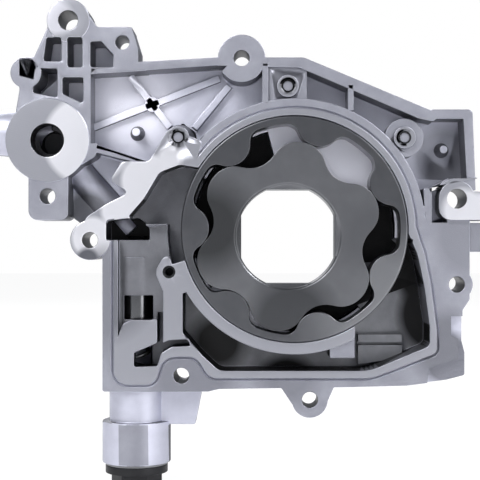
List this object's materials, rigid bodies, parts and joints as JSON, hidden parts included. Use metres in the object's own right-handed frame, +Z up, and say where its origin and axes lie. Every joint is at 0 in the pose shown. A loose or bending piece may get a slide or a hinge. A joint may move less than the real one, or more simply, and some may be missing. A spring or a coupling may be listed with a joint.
{
  "type": "engine oil pump",
  "caption": "Die-cast engine oil pump housing with a lobed inner rotor turning in a toothed outer rotor, open suction and pressure cavities and a relief valve tube.",
  "frame": {"origin": "where the crankshaft axis meets the mating face of the housing", "axes": "+Z up as mounted in the engine, -Y out of the mating face towards the block, +X to the right seen from the block"},
  "size_m": [0.2268, 0.031, 0.2072],
  "materials": {
    "cast_housing": "as cast, with machined faces",
    "sintered_rotor": "ground sintered steel",
    "ground_steel": "ground",
    "spring_steel": "drawn wire",
    "black_plug": "black phosphated",
    "seal_washer": "soft aluminium",
    "seal_case": "pressed sheet",
    "seal_rubber": "matt"
  },
  "bodies": {
    "housing": {"pump_housing": "cast_housing", "relief_valve_spring": "spring_steel", "relief_valve_plug": "black_plug", "relief_plug_washer": "seal_washer", "crank_seal_case": "seal_case", "crank_seal_lip": "seal_rubber", "crank_seal_garter_spring": "spring_steel", "gallery_plug": "black_plug", "gallery_plug_washer": "seal_washer"},
    "inner_rotor": {"inner_rotor": "sintered_rotor"},
    "outer_rotor": {"outer_rotor": "sintered_rotor"},
    "relief_piston": {"relief_valve_piston": "ground_steel"}
  },
  "joints": [
    {"name": "inner_rotor_spin", "type": "hinge", "parent": "housing", "child": "inner_rotor", "pos_m": [0, 0, 0], "axis": [0, 1, 0], "continuous": true},
    {"name": "outer_rotor_spin", "type": "hinge", "parent": "housing", "child": "outer_rotor", "pos_m": [0.00281, 0, 0.00312], "axis": [0, 1, 0], "continuous": true},
    {"name": "relief_piston_slide", "type": "slide", "parent": "housing", "child": "relief_piston", "axis": [0, 0, -1], "range_m": [0, 0.012], "stiffness_N_per_m": 4000, "springref_m": -0.0125, "deforming": ["relief_valve_spring"]}
  ],
  "couplings": [
    {"joint": "outer_rotor_spin", "follows": "inner_rotor_spin", "ratio": 0.85714}
  ]
}
